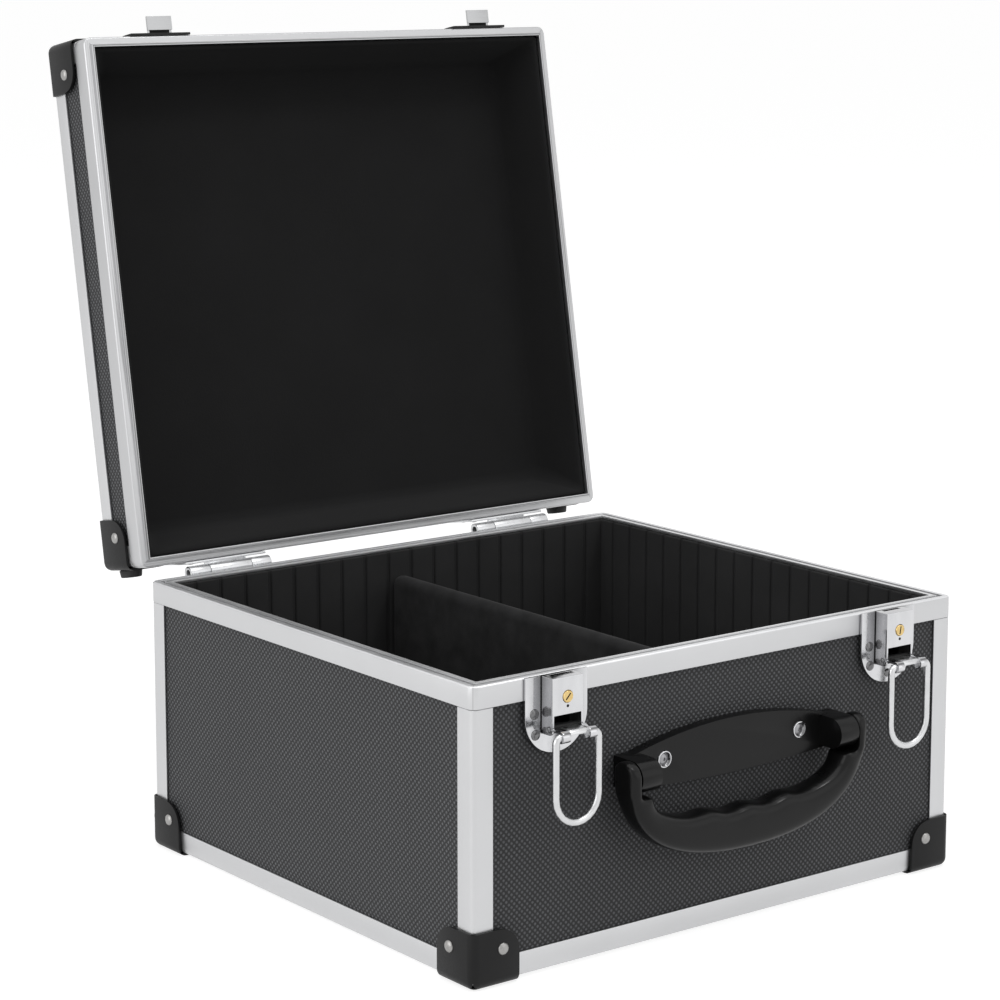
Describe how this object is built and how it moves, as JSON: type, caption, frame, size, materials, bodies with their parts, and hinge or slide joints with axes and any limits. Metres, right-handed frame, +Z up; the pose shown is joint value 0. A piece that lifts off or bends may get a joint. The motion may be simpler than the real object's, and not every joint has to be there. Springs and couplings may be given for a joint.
{
  "type": "aluminium cd case",
  "caption": "Lidded storage case for compact discs: aluminium edges, dark panels, corner protectors, toggle latches with wire bails, swing handle and a lined interior.",
  "frame": {"origin": "on the floor under the open case, in the middle of the room that it takes up", "axes": "+Z up, +Y from the front with handle and latches to the hinges, +X to the right of someone facing the front"},
  "size_m": [0.3436, 0.4412, 0.4818],
  "materials": {
    "aluminium": "satin",
    "panel": "fine raised dots",
    "plastic": "satin",
    "rubber": "matt",
    "chrome": "bright",
    "brass": "polished",
    "lining": "matt",
    "divider": "matt, padded",
    "steel": "drawn"
  },
  "bodies": {
    "case_body": {"body_front_panel": "panel", "body_back_panel": "panel", "body_left_panel": "panel", "body_right_panel": "panel", "body_bottom_panel": "panel", "body_base_frame": "aluminium", "body_rim_frame": "aluminium", "body_corner_post_front_left": "aluminium", "body_corner_post_front_right": "aluminium", "body_corner_post_back_right": "aluminium", "body_corner_post_back_left": "aluminium", "body_protector_front_left": "plastic", "body_protector_front_right": "plastic", "body_protector_back_right": "plastic", "body_protector_back_left": "plastic", "left_lining": "lining", "right_lining": "lining", "front_lining": "lining", "back_lining": "lining", "floor_lining": "lining", "handle_bracket": "plastic", "left_latch_housing": "chrome", "left_body_hinge_leaf": "chrome", "left_hinge_pin": "steel", "right_latch_housing": "chrome", "right_body_hinge_leaf": "chrome", "right_hinge_pin": "steel", "body_back_foot_left": "rubber", "body_back_foot_right": "rubber"},
    "lid": {"lid_front_panel": "panel", "lid_back_panel": "panel", "lid_left_panel": "panel", "lid_right_panel": "panel", "lid_top_panel": "panel", "lid_top_frame": "aluminium", "lid_rim_frame": "aluminium", "lid_corner_post_front_left": "aluminium", "lid_corner_post_front_right": "aluminium", "lid_corner_post_back_right": "aluminium", "lid_corner_post_back_left": "aluminium", "lid_protector_front_left": "plastic", "lid_protector_front_right": "plastic", "lid_protector_back_right": "plastic", "lid_protector_back_left": "plastic", "lid_lining": "lining", "left_lid_catch": "chrome", "left_lid_hinge_leaf": "chrome", "right_lid_catch": "chrome", "right_lid_hinge_leaf": "chrome", "lid_back_foot_left": "rubber", "lid_back_foot_right": "rubber"},
    "grip": {"handle_grip": "plastic"},
    "divider_board": {"divider": "divider"},
    "left_lever": {"left_latch_lever": "chrome"},
    "left_bail": {"left_latch_bail": "chrome"},
    "left_lock": {"left_lock_cylinder": "brass"},
    "right_lever": {"right_latch_lever": "chrome"},
    "right_bail": {"right_latch_bail": "chrome"},
    "right_lock": {"right_lock_cylinder": "brass"}
  },
  "joints": [
    {"name": "lid_hinge", "type": "hinge", "parent": "case_body", "child": "lid", "pos_m": [0, 0.12003, 0.1578], "axis": [1, 0, 0], "range_deg": [0, 100.1]},
    {"name": "handle_swing", "type": "hinge", "parent": "case_body", "child": "grip", "pos_m": [0, -0.21142, 0.0993], "axis": [-1, 0, 0], "range_deg": [0, 90]},
    {"name": "divider_lift", "type": "slide", "parent": "case_body", "child": "divider_board", "axis": [0, 0, -1], "range_m": [-0.045, 0]},
    {"name": "left_lever_pivot", "type": "hinge", "parent": "case_body", "child": "left_lever", "pos_m": [-0.1181, -0.20557, 0.1318], "axis": [1, 0, 0], "range_deg": [0, 90]},
    {"name": "left_bail_swing", "type": "hinge", "parent": "left_lever", "child": "left_bail", "pos_m": [-0.1181, -0.21637, 0.1302], "axis": [1, 0, 0], "range_deg": [-273.3, 0]},
    {"name": "left_lock_turn", "type": "hinge", "parent": "case_body", "child": "left_lock", "pos_m": [-0.1181, -0.19797, 0.1484], "axis": [0, 1, 0], "range_deg": [0, 90]},
    {"name": "right_lever_pivot", "type": "hinge", "parent": "case_body", "child": "right_lever", "pos_m": [0.1181, -0.20557, 0.1318], "axis": [1, 0, 0], "range_deg": [0, 90]},
    {"name": "right_bail_swing", "type": "hinge", "parent": "right_lever", "child": "right_bail", "pos_m": [0.1181, -0.21637, 0.1302], "axis": [1, 0, 0], "range_deg": [-273.3, 0]},
    {"name": "right_lock_turn", "type": "hinge", "parent": "case_body", "child": "right_lock", "pos_m": [0.1181, -0.19797, 0.1484], "axis": [0, 1, 0], "range_deg": [0, 90]}
  ],
  "couplings": [
    {"joint": "left_bail_swing", "follows": "left_lever_pivot", "ratio": -3.0313},
    {"joint": "right_bail_swing", "follows": "right_lever_pivot", "ratio": -3.0313}
  ]
}
